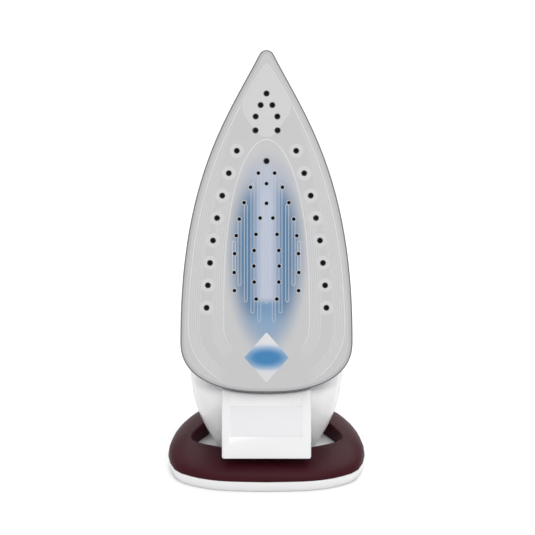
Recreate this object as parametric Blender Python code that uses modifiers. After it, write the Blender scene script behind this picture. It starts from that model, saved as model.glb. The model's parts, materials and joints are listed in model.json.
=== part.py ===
"""A steam iron standing on its heel. Metres, +Z up, x = 0 is its plane of symmetry.

The iron is drawn in its own frame, and an empty leans that frame back onto the heel: X is across,
Y is the depth behind the soleplate's face, and Z runs along the soleplate towards its tip.
The heel plate and its collar are drawn upright, in the world's frame.
"""

import math

import bmesh
import bpy
import numpy as np
from mathutils import Matrix, Vector

# Driving sizes
LEAN = math.radians(20)
SOLE_LENGTH = 0.240
SOLE_WIDTH = 0.1208
SOLE_REAR = 0.0724
SHOULDER = 0.0366
SOLE_THICK = 0.0032
TIP_RADIUS = 0.0056
HEEL_WIDTH = 0.1410
HEEL_DEPTH = 0.134
HEEL_RIM = 0.0078
HEEL_FLOOR = 0.0100
HEEL_SETBACK = 0.0055
HEEL_SINK = 0.0021
HEEL_SCREW = 0.0125
COLLAR_HEIGHT = 0.0105
COLLAR_RISE = 0.0070
PLATFORM_SHARE = 0.45
BOSS_REACH = 0.75
HANDLE_TOP = 0.144
HANDLE_WALL = 0.0022
HANDLE_CROWN = HANDLE_TOP - 0.0155
HANDLE_FOOT = 0.1015
BODY_WALL = 0.0024
BODY_MARGIN = 0.0064
BODY_FLOOR = 0.0150
DECK = 0.070
TANK_FLOOR = 0.034
TANK_WALL = 0.0020
TANK_REAR = SOLE_REAR + 0.082
GAP = 0.0003
FIT = 0.0005

# Steam side
OUTER_HOLE = 0.0017
INNER_HOLE = 0.00115
SKIRT_WALL = 0.0022
CHAMBER_INSET = 0.0076
CHAMBER_HEIGHT = 0.0085
CHAMBER_FLOOR = 0.0030
COVER_INSET = 0.009
COVER_THICK = 0.0015
ELEMENT_RADIUS = 0.0030
COVER_SCREW = 0.0055
SCREW_HEAD = 0.0029
SCREW_RADIUS = 0.0015
SEAL_HEIGHT = 0.0014

# Controls
DIAL_RADIUS = 0.017
DIAL_ALONG = SOLE_REAR + 0.0440 + DIAL_RADIUS
DIAL_HEIGHT = 0.0075
SHAFT_RADIUS = 0.0025
PUMP_ALONG = SOLE_REAR + 0.1680
PUMP_ACROSS = 0.0086
PUMP_RADIUS = 0.0060
PUMP_BORE = 0.0042
PUMP_LOW = 0.078
PUMP_HIGH = HANDLE_TOP - 0.0440
BUTTON_TRAVEL = 0.003
BUTTON_FOOT = HANDLE_TOP - 0.0390
BUTTON_HALF = 0.0058
BUTTON_LENGTH = 0.020
BUTTON_DEEP = 0.0034
SPRING_PRESSED = 0.0060
SUCTION_RADIUS = 0.0024
NOZZLE_DEPTH = HANDLE_TOP - 0.0480
NOZZLE_ALONG = SOLE_REAR + 0.1840
LENS_ALONG = SOLE_REAR + 0.0780
ROD_ALONG = SOLE_REAR + 0.1590
ROD_RADIUS = 0.0015
SLIDER_ALONG = SOLE_REAR + 0.1130
SLIDER_TRAVEL = 0.014
DOOR_ALONG = SOLE_REAR + 0.1980
DOOR_HALF = 0.0105
DOOR_LENGTH = 0.0190
DOOR_THICK = 0.0021
HINGE_RADIUS = 0.0020
PIN_RADIUS = 0.0009
EAR_HALF = 0.0016
COLLECTOR_HALF = 0.0314
COLLECTOR_FACE = 0.0062
COLLECTOR_BOTTOM = 0.0215
TONGUE_HALF = 0.0230
TONGUE_DEPTH = 0.060
TONGUE_LOW = SOLE_REAR - 0.0330
TONGUE_TOP = SOLE_REAR - 0.0130
GLAND_RADIUS = 0.0055
GLAND_BORE = 0.0032
GLAND_TILT = math.radians(28)
GLAND_DROP = 0.0075 * (HANDLE_CROWN - HANDLE_FOOT) / 0.0270
GLAND_SPOT = Vector((0, HANDLE_CROWN - GLAND_DROP, SOLE_REAR + 0.0330))

SOLE_TIP = SOLE_REAR + SOLE_LENGTH
SOLE_HALF = SOLE_WIDTH / 2
HEEL_FRONT = -HEEL_DEPTH / 2
SOLE_LINE = HEEL_FRONT - HEEL_SETBACK
CHAMBER_LOW = SOLE_THICK + GAP
CHAMBER_TOP = CHAMBER_LOW + CHAMBER_HEIGHT
COVER_TOP = CHAMBER_TOP + GAP + COVER_THICK


# ---------------------------------------------------------------- scene and materials

def clear_scene():
    for old in list(bpy.data.objects):
        bpy.data.objects.remove(old, do_unlink=True)


def new_collection(name):
    made = bpy.data.collections.new(name)
    bpy.context.scene.collection.children.link(made)
    return made


clear_scene()
PARTS = new_collection("steam_iron")
CUTTERS = new_collection("cutters")
FRAME = bpy.data.objects.new("lean_frame", None)
PARTS.objects.link(FRAME)
FRAME.location = (0, SOLE_LINE, 0)
FRAME.rotation_euler = (-LEAN, 0, 0)

COLOURS = {
    "sole_grey": ((0.56, 0.56, 0.56), 0.35, 0.6),
    "aluminium": ((0.62, 0.63, 0.64), 0.45, 1.0),
    "steel": ((0.50, 0.51, 0.53), 0.30, 1.0),
    "brass": ((0.70, 0.50, 0.22), 0.30, 1.0),
    "white_plastic": ((0.86, 0.86, 0.86), 0.30, 0.0),
    "grey_plastic": ((0.30, 0.30, 0.31), 0.45, 0.0),
    "burgundy": ((0.070, 0.020, 0.028), 0.35, 0.0),
    "clear_plastic": ((0.42, 0.22, 0.26), 0.12, 0.0),
    "rubber": ((0.04, 0.04, 0.04), 0.8, 0.0),
    "board_green": ((0.02, 0.16, 0.06), 0.5, 0.0),
    "amber": ((0.80, 0.28, 0.04), 0.2, 0.0),
}


def material(name, key):
    colour, rough, metal = COLOURS[key]
    made = bpy.data.materials.new(name)
    made.use_nodes = True
    shader = made.node_tree.nodes["Principled BSDF"]
    shader.inputs["Base Color"].default_value = (*colour, 1)
    shader.inputs["Roughness"].default_value = rough
    shader.inputs["Metallic"].default_value = metal
    return made


# ---------------------------------------------------------------- building helpers

def add(name, mesh, key=None, upright=False):
    """Link a mesh as a part with its material, or as a cutter where no colour is named."""
    obj = bpy.data.objects.new(name, mesh)
    if key:
        PARTS.objects.link(obj)
        mesh.materials.append(material(name, key))
        mesh.shade_smooth()
        mesh.set_sharp_from_angle(angle=math.radians(40))
    else:
        CUTTERS.objects.link(obj)
        obj.hide_render = True
        obj.display_type = "WIRE"
    if not upright:
        obj.parent = FRAME
    return obj


def finish(name, bm, key, upright=False):
    mesh = bpy.data.meshes.new(name)
    bm.to_mesh(mesh)
    bm.free()
    return add(name, mesh, key, upright)


def loft(name, rings, key=None, upright=False, closed=False):
    """Skin rings of equal length. The ends are capped, or joined where the loft is closed."""
    bm = bmesh.new()
    rows = [[bm.verts.new(point) for point in ring] for ring in rings]
    count = len(rows[0])
    pairs = list(zip(rows, rows[1:]))
    if closed:
        pairs.append((rows[-1], rows[0]))
    for low, high in pairs:
        for i in range(count):
            j = (i + 1) % count
            bm.faces.new((low[i], low[j], high[j], high[i]))
    if not closed:
        bm.faces.new(list(reversed(rows[0])))
        bm.faces.new(rows[-1])
    bmesh.ops.recalc_face_normals(bm, faces=bm.faces)
    return finish(name, bm, key, upright)


def box(name, low, high, key=None, upright=False, rounding=0.0):
    low, high = Vector(low), Vector(high)
    bm = bmesh.new()
    bmesh.ops.create_cube(bm, size=1)
    for vert in bm.verts:
        vert.co = Vector((low[i] + (vert.co[i] + 0.5) * (high[i] - low[i]) for i in range(3)))
    obj = finish(name, bm, key, upright)
    if rounding:
        soften(obj, rounding)
    return obj


def soften(obj, width, segments=2, angle=40):
    bevel = obj.modifiers.new("Bevel", "BEVEL")
    bevel.width = width
    bevel.segments = segments
    bevel.limit_method = "ANGLE"
    bevel.angle_limit = math.radians(angle)


def rod(name, start, end, radius, key=None, sides=16, upright=False):
    """A plain round bar or bore between two points."""
    start, end = Vector(start), Vector(end)
    bm = bmesh.new()
    length = (end - start).length
    bmesh.ops.create_cone(
        bm, cap_ends=True, segments=sides, radius1=radius, radius2=radius, depth=length
    )
    turn = (end - start).to_track_quat("Z", "Y").to_matrix().to_4x4()
    bm.transform(Matrix.Translation((start + end) / 2) @ turn)
    return finish(name, bm, key, upright)


def turned(name, profile, base, axis, key=None, steps=20, ring=False, upright=False):
    """Turn a profile of (radius, height) about an axis. It runs down its outer side."""
    bm = bmesh.new()
    verts = [bm.verts.new((radius, 0, height)) for radius, height in profile]
    for a, b in zip(verts, verts[1:]):
        bm.edges.new((a, b))
    if ring:
        bm.edges.new((verts[-1], verts[0]))
    obj = finish(name, bm, key, upright)
    obj.location = base
    obj.rotation_mode = "QUATERNION"
    obj.rotation_quaternion = Vector(axis).to_track_quat("Z", "Y")
    screw = obj.modifiers.new("Screw", "SCREW")
    screw.steps = steps
    screw.render_steps = steps
    screw.use_merge_vertices = True
    screw.merge_threshold = 0.00005
    return obj


def sleeve(name, base, axis, length, outer, inner, key, steps=16, upright=False):
    profile = [(outer, length), (outer, 0), (inner, 0), (inner, length)]
    return turned(name, profile, base, axis, key, steps, True, upright)


def wire(name, points, radius, key=None, upright=False):
    """A bent round bar as a closed mesh, so that it can also be a cutter."""
    curve = bpy.data.curves.new(name, "CURVE")
    curve.dimensions = "3D"
    curve.bevel_depth = radius
    curve.bevel_resolution = 2
    curve.use_fill_caps = True
    spline = curve.splines.new("POLY")
    spline.points.add(len(points) - 1)
    for slot, point in zip(spline.points, points):
        slot.co = (*point, 1)
    guide = bpy.data.objects.new(name + "_guide", curve)
    CUTTERS.objects.link(guide)
    if not upright:
        guide.parent = FRAME
    bpy.context.view_layer.update()
    graph = bpy.context.evaluated_depsgraph_get()
    mesh = bpy.data.meshes.new_from_object(guide.evaluated_get(graph))
    bpy.data.objects.remove(guide, do_unlink=True)
    bm = bmesh.new()
    bm.from_mesh(mesh)
    bmesh.ops.remove_doubles(bm, verts=bm.verts, dist=0.00001)
    bmesh.ops.recalc_face_normals(bm, faces=bm.faces)
    return finish(name, bm, key, upright)


def boolean(obj, cutter, operation="DIFFERENCE"):
    step = obj.modifiers.new(operation.title(), "BOOLEAN")
    step.operation = operation
    step.solver = "EXACT"
    step.object = cutter
    return step


def cut(obj, *cutters):
    for cutter in cutters:
        boolean(obj, cutter)


def join(obj, *others):
    for other in others:
        boolean(obj, other, "UNION")


def put_origin(obj, point):
    """Move an object's origin, and leave its shape where it is."""
    obj.data.transform(Matrix.Translation(-Vector(point)))
    obj.location = point


def largest_piece(obj, key):
    """Apply the modifiers and keep the one body that holds most of the faces."""
    bpy.context.view_layer.update()
    graph = bpy.context.evaluated_depsgraph_get()
    bm = bmesh.new()
    bm.from_mesh(bpy.data.meshes.new_from_object(obj.evaluated_get(graph)))
    bmesh.ops.remove_doubles(bm, verts=bm.verts, dist=0.000002)
    islands = []
    unseen = set(bm.faces)
    while unseen:
        stack = [unseen.pop()]
        island = []
        while stack:
            face = stack.pop()
            island.append(face)
            for edge in face.edges:
                for near in edge.link_faces:
                    if near in unseen:
                        unseen.discard(near)
                        stack.append(near)
        islands.append(island)
    islands.sort(key=lambda island: sum(face.calc_area() for face in island))
    for island in islands[:-1]:
        bmesh.ops.delete(bm, geom=island, context="FACES")
    loose = [vert for vert in bm.verts if not vert.link_faces]
    bmesh.ops.delete(bm, geom=loose, context="VERTS")
    name = obj.name
    bpy.data.objects.remove(obj, do_unlink=True)
    return finish(name, bm, key)


# ---------------------------------------------------------------- curves

def smooth_rows(rows, steps):
    """A Catmull-Rom curve through rows of numbers, with this many steps between two rows."""
    rows = np.array(rows, float)
    padded = np.vstack([2 * rows[0] - rows[1], rows, 2 * rows[-1] - rows[-2]])
    made = []
    for i in range(1, len(padded) - 2):
        a, b, c, d = padded[i - 1 : i + 3]
        for t in np.arange(steps) / steps:
            made.append(
                0.5 * (2 * b + (c - a) * t + (2 * a - 5 * b + 4 * c - d) * t**2
                       + (3 * b - a - 3 * c + d) * t**3)
            )
    made.append(rows[-1])
    return np.array(made)


def sole_side(rear_steps=9, side_steps=12, tip_steps=4):
    """The right half of the soleplate's outline, as (across, along) from the rear to the tip."""
    shoulder = SOLE_REAR + SHOULDER
    power = 2 / 2.4
    points = []
    for i in range(rear_steps):
        turn = math.pi / 2 * i / rear_steps
        across = SOLE_HALF * math.sin(turn) ** power
        points.append((across, shoulder - SHOULDER * math.cos(turn) ** power))
    slope = 2.06 * SOLE_HALF / SOLE_LENGTH
    lean = math.atan(slope)
    start = (TIP_RADIUS * math.cos(lean), SOLE_TIP - TIP_RADIUS * (1 - math.sin(lean)))
    side = start[1] - shoulder
    handles = (
        (SOLE_HALF, shoulder),
        (SOLE_HALF, shoulder + 0.565 * side),
        (start[0] + 0.221 * side * slope, start[1] - 0.221 * side),
        start,
    )
    for i in range(side_steps):
        t = i / side_steps
        weights = ((1 - t) ** 3, 3 * t * (1 - t) ** 2, 3 * t * t * (1 - t), t**3)
        points.append(tuple(sum(w * p[k] for w, p in zip(weights, handles)) for k in (0, 1)))
    for i in range(tip_steps + 1):
        turn = lean + (math.pi / 2 - lean) * i / tip_steps
        along = SOLE_TIP - TIP_RADIUS + TIP_RADIUS * math.sin(turn)
        points.append((TIP_RADIUS * math.cos(turn), along))
    points[0] = (0.0, points[0][1])
    points[-1] = (0.0, points[-1][1])
    return points


SIDE = np.array(sole_side(24, 40, 8))


def sole_half(along):
    return float(np.interp(along, SIDE[:, 1], SIDE[:, 0]))


def outline(inset, steps=(8, 12, 4)):
    """The soleplate's closed outline, drawn in by a margin on every side."""
    half = sole_side(*steps)
    wide = 1 - inset / SOLE_HALF
    length = 1 - 3.2 * inset / SOLE_LENGTH
    right = [(x * wide, SOLE_REAR + inset + (z - SOLE_REAR) * length) for x, z in half]
    left = [(-x, z) for x, z in reversed(right[1:-1])]
    return right + left


def plate(name, inset, low, high, key=None, steps=(8, 12, 4)):
    """A slab of the soleplate's outline between two depths."""
    shape = outline(inset, steps)
    return loft(name, [[(x, y, z) for x, z in shape] for y in (low, high)], key)


# ---------------------------------------------------------------- the body's outer form

def leaned(y, z):
    """The depth and the length along the sole of a point, from its run off the sole's line and height."""
    return (y * math.cos(LEAN) - z * math.sin(LEAN), y * math.sin(LEAN) + z * math.cos(LEAN))


REAR_TAPER = (
    (SOLE_REAR - 0.0454, 0.0318),
    (SOLE_REAR - 0.0404, 0.0347),
    (SOLE_REAR - 0.0257, 0.0431),
    (SOLE_REAR - 0.0127, 0.0484),
    (SOLE_REAR - 0.0017, 0.0513),
    (SOLE_REAR + 0.0076, SOLE_HALF - 0.0080),
    (SOLE_REAR + 0.0226, SOLE_HALF - 0.0068),
)


def body_half(along):
    """Half the body's width: a taper towards the heel, then the sole's outline less a margin."""
    last = REAR_TAPER[-1]
    if along < last[0]:
        return float(np.interp(along, [row[0] for row in REAR_TAPER], [row[1] for row in REAR_TAPER]))
    return max(sole_half(max(along, SOLE_REAR + SHOULDER)) - BODY_MARGIN, 0.0012)


def body_stations():
    """Rows of (front depth, front along, back depth, back along), from the heel to the nose."""
    heel_back = HEEL_DEPTH - 0.0180
    rows = []
    for z, front, back in (
        (HEEL_FLOOR + GAP, 0.048, heel_back),
        (0.014, 0.046, heel_back),
        (0.022, 0.044, heel_back + 0.001),
    ):
        rows.append((*leaned(front, z), *leaned(back, z)))
    column = leaned(HEEL_DEPTH + 0.001, 0.035)
    crown = leaned(HEEL_DEPTH + 0.004, 0.046)
    r = SOLE_REAR
    rows += [
        (0.026, r - 0.0284, *column),
        (0.019, r - 0.0184, *crown),
        (0.013, r - 0.0094, 0.103, r + 0.0240),
        (0.0095, r - 0.0024, 0.092, r + 0.0290),
        (0.0125, r + 0.0026, 0.082, r + 0.0330),
        (BODY_FLOOR, r + 0.0086, DECK + 0.0050, r + 0.0380),
        (BODY_FLOOR, r + 0.0276, DECK + 0.0010, r + 0.0490),
        (BODY_FLOOR, r + 0.0576, DECK, r + 0.0700),
        (BODY_FLOOR, r + 0.0926, DECK, r + 0.0980),
        (BODY_FLOOR, SOLE_TIP - 0.1124, DECK - 0.001, SOLE_TIP - 0.1110),
        (BODY_FLOOR, SOLE_TIP - 0.0824, DECK - 0.003, SOLE_TIP - 0.0824),
        (BODY_FLOOR, SOLE_TIP - 0.0574, DECK - 0.009, SOLE_TIP - 0.0574),
    ]
    nose = SOLE_TIP - 0.0100
    for back_off, height in ((0.028, 0.034), (0.013, 0.020), (0.004, 0.011), (0.0, 0.006)):
        rows.append((BODY_FLOOR, nose - back_off, BODY_FLOOR + height, nose - back_off))
    return rows


def body_form(name, offset, key=None, sides=22, steps=2):
    """The outer form of body, tank and rear column, grown or shrunk by an offset."""
    rows = smooth_rows(body_stations(), steps)
    rings = []
    for index, (front, front_along, back, back_along) in enumerate(rows):
        low, high = Vector((front, front_along)), Vector((back, back_along))
        way = (high - low).normalized()
        low -= offset * way
        high += offset * way
        share = index / (len(rows) - 1)
        slide = 0.0
        if index == 0:
            slide = -offset
        if index == len(rows) - 1:
            slide = offset
        widest = body_half(front_along + 0.3 * (back_along - front_along))
        half = max(widest + offset, 0.0006)
        taper = 0.50 - 0.14 * share
        power = 2 / 2.7
        ring = []
        for i in range(sides):
            turn = 2 * math.pi * i / sides
            side, fore = math.sin(turn), -math.cos(turn)
            s = (math.copysign(abs(fore) ** power, fore) + 1) / 2
            across = half * math.copysign(abs(side) ** power, side) * (1 - taper * s) / 0.82
            spot = low + s * (high - low)
            ring.append((across, spot[0], spot[1] + slide))
        rings.append(ring)
    return loft(name, rings, key)


# ---------------------------------------------------------------- soleplate and steam side

ARCH_ALONG = (0.1621, 0.1537, 0.1438, 0.1330, 0.1215, 0.1099, 0.0973, 0.0841, 0.0714)
COLUMN_ALONG = (0.1463, 0.1325, 0.1222, 0.1108, 0.0995, 0.0886, 0.0774, 0.0655)


def sole_holes():
    """(across, along, radius) of every steam hole."""
    holes = []
    for across, along in ((0, 0.2094), (0.0041, 0.2013), (0.0076, 0.1933), (0.0077, 0.1836)):
        holes.append((across, SOLE_REAR + along, OUTER_HOLE))
    for i in range(8):
        along = SOLE_REAR + 0.0594 + 0.0157 * i
        holes.append((sole_half(along) - 0.018, along, OUTER_HOLE))
    for i, along in enumerate(ARCH_ALONG):
        reach = abs((along - 0.0826) / 0.0795)
        radius = OUTER_HOLE if i == 0 else INNER_HOLE
        holes.append((0.0226 * (1 - reach**2.6), SOLE_REAR + along, radius))
    for along in COLUMN_ALONG:
        reach = (along - 0.0886) / 0.0440
        across = 0 if reach > 0.9 else 0.0089 * (1 - abs(reach) ** 2.6)
        holes.append((across, SOLE_REAR + along, INNER_HOLE))
    return [(x if x > 0.001 else 0, z, radius) for x, z, radius in holes]


def both_sides(holes):
    for across, along, radius in holes:
        yield across, along, radius
        if across:
            yield -across, along, radius


def hole_cutter(name, holes, low, high, extra=0.0, sides=8):
    """All the bores of a set in one mesh."""
    bm = bmesh.new()
    for across, along, radius in both_sides(holes):
        spot = Matrix.Translation((across, (low + high) / 2, along)) @ Matrix.Rotation(
            math.pi / 2, 4, "X"
        )
        bmesh.ops.create_cone(
            bm, cap_ends=True, segments=sides, radius1=radius + extra, radius2=radius + extra,
            depth=high - low, matrix=spot,
        )
    return finish(name, bm, None)


def make_soleplate():
    sole = plate("soleplate", 0, 0, SOLE_THICK, "sole_grey", (9, 14, 4))
    soften(sole, 0.0007, 1)
    cut(sole, hole_cutter("sole_bores", sole_holes(), -0.001, SOLE_THICK + 0.001))


def element_path(depth):
    """The U of the heating element, round the steam chamber."""
    inset = 0.0185
    points = []
    for along in np.linspace(SOLE_REAR + 0.0300, SOLE_TIP - 0.0700, 9):
        points.append((sole_half(max(along, SOLE_REAR + SHOULDER)) - inset, along))
    bend = points[-1]
    for i in range(1, 4):
        turn = math.pi / 2 * i / 4
        points.append((bend[0] * math.cos(turn), bend[1] + 0.016 * math.sin(turn)))
    points.append((0, bend[1] + 0.016))
    right = [(x, depth, z) for x, z in points]
    left = [(-x, depth, z) for x, z in reversed(points[:-1])]
    return right + left


def cover_screws():
    """Where the chamber's cover is screwed down, on the right half."""
    return [(0.0285, SOLE_REAR + 0.052), (0.0262, SOLE_REAR + 0.104)]


def make_steam_side():
    chamber = plate("steam_chamber", CHAMBER_INSET, CHAMBER_LOW, CHAMBER_TOP, "aluminium", (5, 9, 3))
    pocket = plate("chamber_pocket", CHAMBER_INSET + 0.030, CHAMBER_LOW + CHAMBER_FLOOR, 0.03, None,
                   (4, 7, 2))
    groove_depth = CHAMBER_TOP - ELEMENT_RADIUS + 0.0004
    groove = wire("element_groove", element_path(groove_depth), ELEMENT_RADIUS + FIT)
    ports = [(0.010, SOLE_REAR + along, 0.003) for along in (0.060, 0.095, 0.125)]
    screw_holes = [(across, along, SCREW_RADIUS + GAP) for across, along in cover_screws()]
    cut(chamber, pocket, groove, hole_cutter("chamber_ports", ports, 0.001, 0.02))
    cut(chamber, hole_cutter("screw_pilots", screw_holes, COVER_TOP - COVER_SCREW - GAP, 0.03))
    cover = plate("chamber_cover", CHAMBER_INSET + 0.0185, CHAMBER_TOP + GAP, COVER_TOP, "steel", (5, 9, 3))
    inlets = [(0, ROD_ALONG, 0.0022), (0, SOLE_REAR + 0.030, 0.006)]
    openings = inlets + screw_holes
    cut(cover, hole_cutter("cover_inlets", openings, CHAMBER_TOP - 0.001, COVER_TOP + 0.001, 0, 10))
    for number, (across, along, _) in enumerate(both_sides(screw_holes), 1):
        make_screw(f"cover_screw_{number}", (across, COVER_TOP + GAP, along), (0, 1, 0), length=COVER_SCREW)
    wire("heating_element", element_path(groove_depth), ELEMENT_RADIUS, "steel")
    seat = COVER_TOP + GAP
    turned(
        "thermostat",
        [(0, 0.008), (0.006, 0.008), (0.0065, 0.005), (0.010, 0.005), (0.010, 0), (0, 0)],
        (0, seat, DIAL_ALONG), (0, 1, 0), "brass",
    )
    fuse_low = seat + 0.0022
    rod("thermal_fuse", (-0.009, fuse_low, SOLE_REAR + 0.092), (0.009, fuse_low, SOLE_REAR + 0.092),
        0.002, "steel", 10)
    skirt = skirt_wall("heat_skirt", 0, "grey_plastic")
    cut(skirt, skirt_wall("skirt_bore", SKIRT_WALL), FORM_CLEAR)


def skirt_wall(name, inner, key=None):
    """The skirt leans inward from the soleplate and tucks under the body."""
    overrun = 0.001 if inner else 0
    levels = (
        (0.0024, CHAMBER_LOW - overrun), (0.0034, 0.009), (0.0064, BODY_FLOOR),
        (0.0120, BODY_FLOOR + 0.007 + overrun),
    )
    rings = [[(x, y, z) for x, z in outline(inset + inner, (7, 12, 3))] for inset, y in levels]
    return loft(name, rings, key)


def make_screw(name, base, axis, length, upright=False):
    """A pan-head screw with a dimpled head. The base is the seat under its head."""
    head, shank = SCREW_HEAD, SCREW_RADIUS
    profile = [
        (0, 0.0010), (head * 0.45, 0.0016), (head * 0.8, 0.0018), (head, 0.0010), (head, 0),
        (shank, 0), (shank, 0.001 - length), (0, -length),
    ]
    return turned(name, profile, base, axis, "steel", 8, False, upright)


# ---------------------------------------------------------------- body and tank

def make_body():
    body = body_form("body_shell", 0, "white_plastic")
    cut(body, body_form("body_hollow", -BODY_WALL, None, 16, 1))
    cut(body, plate("body_floor_opening", 0.012, 0.008, 0.030, None, (5, 9, 3)))
    cut(body, box("tank_space", (-0.1, TANK_FLOOR - GAP, TANK_REAR - GAP), (0.1, 0.12, 0.36)))
    cut(body, box("collector_slot", (-TONGUE_HALF - FIT, 0.0, TONGUE_LOW - FIT),
                  (TONGUE_HALF + FIT, 0.040, TONGUE_TOP + GAP + SEAL_HEIGHT + FIT)))
    deck_hole = rod("dial_hole", (0, DECK - 0.008, DIAL_ALONG), (0, DECK + 0.010, DIAL_ALONG),
                    SHAFT_RADIUS + FIT)
    cut(body, deck_hole)


def make_tank():
    tank = body_form("water_tank", 0, "clear_plastic")
    space = box("tank_body", (-0.1, TANK_FLOOR, TANK_REAR), (0.1, 0.12, 0.36))
    boolean(tank, space, "INTERSECT")
    hollow = body_form("tank_hollow", -TANK_WALL, None, 16, 1)
    inside = box("tank_inside", (-0.1, TANK_FLOOR + TANK_WALL, TANK_REAR + TANK_WALL), (0.1, 0.12, 0.34))
    boolean(hollow, inside, "INTERSECT")
    cut(tank, hollow)
    ears = []
    for side in (-1, 1):
        x = side * (DOOR_HALF * 0.62)
        ears.append(box(
            f"door_ear_{'left' if side < 0 else 'right'}",
            (x - 0.0012, HINGE_DEPTH - 0.0055, HINGE_ALONG - EAR_HALF),
            (x + 0.0012, HINGE_DEPTH + EAR_HALF, HINGE_ALONG + EAR_HALF),
        ))
    join(tank, *ears)
    cut(tank, rod("hinge_bore", (-0.012, HINGE_DEPTH, HINGE_ALONG), (0.012, HINGE_DEPTH, HINGE_ALONG),
                  PIN_RADIUS + GAP, None, 10))
    cut(tank, rounded_prism("filler_mouth", 0, DOOR_ALONG, DOOR_HALF - 0.003, DOOR_LENGTH / 2 - 0.003,
                            0.003, TANK_FLOOR + 0.006, 0.090))
    cut(tank, rod("rod_passage", (0, TANK_FLOOR - 0.005, ROD_ALONG), (0, 0.080, ROD_ALONG),
                  ROD_RADIUS + FIT, None, 12))
    for side in (-1, 1):
        x = side * PUMP_ACROSS
        cut(tank, rod(f"suction_passage_{'left' if side < 0 else 'right'}", (x, 0.055, PUMP_ALONG),
                      (x, 0.080, PUMP_ALONG), SUCTION_RADIUS + FIT, None, 12))


def rounded_prism(name, across, along, half, reach, radius, low, high, key=None, steps=3):
    """A rounded rectangle across and along the sole, extruded through the depth."""
    shape = []
    for quarter, (sx, sz) in enumerate(((1, 1), (-1, 1), (-1, -1), (1, -1))):
        for i in range(steps + 1):
            turn = math.pi / 2 * (quarter + i / steps)
            shape.append((
                across + sx * (half - radius) + radius * math.cos(turn),
                along + sz * (reach - radius) + radius * math.sin(turn),
            ))
    return loft(name, [[(x, y, z) for x, z in shape] for y in (low, high)], key)


# ---------------------------------------------------------------- handle

def handle_rows():
    """Rows of (depth, along, half width, half height) down the middle of the handle."""
    r = SOLE_REAR
    top = HANDLE_CROWN
    drop = (HANDLE_CROWN - HANDLE_FOOT) / 0.0270
    rows = [
        (DECK - 0.018, r + 0.1640, 0.0205, 0.0190),
        (DECK + 0.008, r + 0.1655, 0.0200, 0.0185),
        (top - 0.0340, r + 0.1655, 0.0200, 0.0180),
        (top - 0.0160, r + 0.1600, 0.0205, 0.0175),
        (top - 0.0045, r + 0.1440, 0.0205, 0.0170),
        (top, r + 0.1180, 0.0180, 0.0155),
        (top - 0.0005, r + 0.0830, 0.0168, 0.0150),
        (top - 0.0030 * drop, r + 0.0530, 0.0172, 0.0150),
        (top - 0.0085 * drop, r + 0.0330, 0.0180, 0.0145),
        (top - 0.0165 * drop, r + 0.0200, 0.0185, 0.0140),
        (HANDLE_FOOT, r + 0.0120, 0.0185, 0.0130),
    ]
    return smooth_rows(rows, 2)


def handle_frames():
    """Each row's centre, its outward direction across the path, and its half sizes."""
    rows = handle_rows()
    made = []
    for i, (depth, along, half, rise) in enumerate(rows):
        before, after = rows[max(i - 1, 0)], rows[min(i + 1, len(rows) - 1)]
        path = Vector((after[0] - before[0], after[1] - before[1])).normalized()
        made.append((Vector((depth, along)), Vector((path[1], -path[0])) * -1, half, rise))
    return made


def handle_form(name, offset, key=None, sides=20):
    rings = []
    for centre, out, half, rise in handle_frames():
        ring = []
        for i in range(sides):
            turn = 2 * math.pi * i / sides
            spot = centre + out * (rise + offset) * math.sin(turn)
            ring.append(((half + offset) * math.cos(turn), spot[0], spot[1]))
        rings.append(ring)
    return loft(name, rings, key)


def handle_shell(name, outer_side, key, sides=9):
    """Half of the handle's wall: the outer, top half or the half that faces the fingers."""
    sign = 1 if outer_side else -1
    rings = []
    for centre, out, half, rise in handle_frames():
        ring = []
        for wall, order in ((0, range(sides + 1)), (HANDLE_WALL, range(sides, -1, -1))):
            for i in order:
                turn = math.pi * i / sides
                lift = sign * ((rise - wall) * math.sin(turn) + GAP / 2)
                spot = centre + out * lift
                ring.append(((half - wall) * math.cos(turn), spot[0], spot[1]))
        rings.append(ring)
    shell = loft(name, rings, key)
    cut(shell, FORM_CLEAR)
    return shell


def gland_axis():
    return Vector((0, math.cos(GLAND_TILT), -math.sin(GLAND_TILT)))


def make_handle():
    cover = handle_shell("handle_cover", True, "white_plastic")
    for side, label in ((-1, "left"), (1, "right")):
        cut(cover, rounded_prism(f"button_hole_{label}", side * PUMP_ACROSS, PUMP_ALONG, BUTTON_HALF + FIT,
                                 BUTTON_LENGTH / 2 + FIT, 0.0028,
                                 BUTTON_FOOT - BUTTON_TRAVEL - FIT, HANDLE_TOP + 0.0160))
    slot_mid = SLIDER_ALONG + SLIDER_TRAVEL / 2
    cut(cover, rounded_prism("slider_slot", 0, slot_mid, 0.0028, SLIDER_TRAVEL / 2 + 0.0045, 0.0012,
                             HANDLE_TOP - 0.0140, HANDLE_TOP + 0.0160))
    cut(cover, rod("nozzle_hole", (0, NOZZLE_DEPTH, NOZZLE_ALONG - 0.012),
                   (0, NOZZLE_DEPTH, NOZZLE_ALONG + 0.012), 0.0040 + FIT))
    cut(cover, rod("lens_hole", (0, HANDLE_TOP - 0.0140, LENS_ALONG), (0, HANDLE_TOP + 0.0160, LENS_ALONG),
                   0.0028 + FIT, None, 12))
    axis = gland_axis()
    cut(cover, rod("gland_hole", GLAND_SPOT + axis * 0.002, GLAND_SPOT + axis * 0.030, GLAND_RADIUS + FIT))
    largest_piece(cover, "white_plastic")
    grip = handle_shell("handle_grip", False, "burgundy")
    largest_piece(grip, "burgundy")


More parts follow.
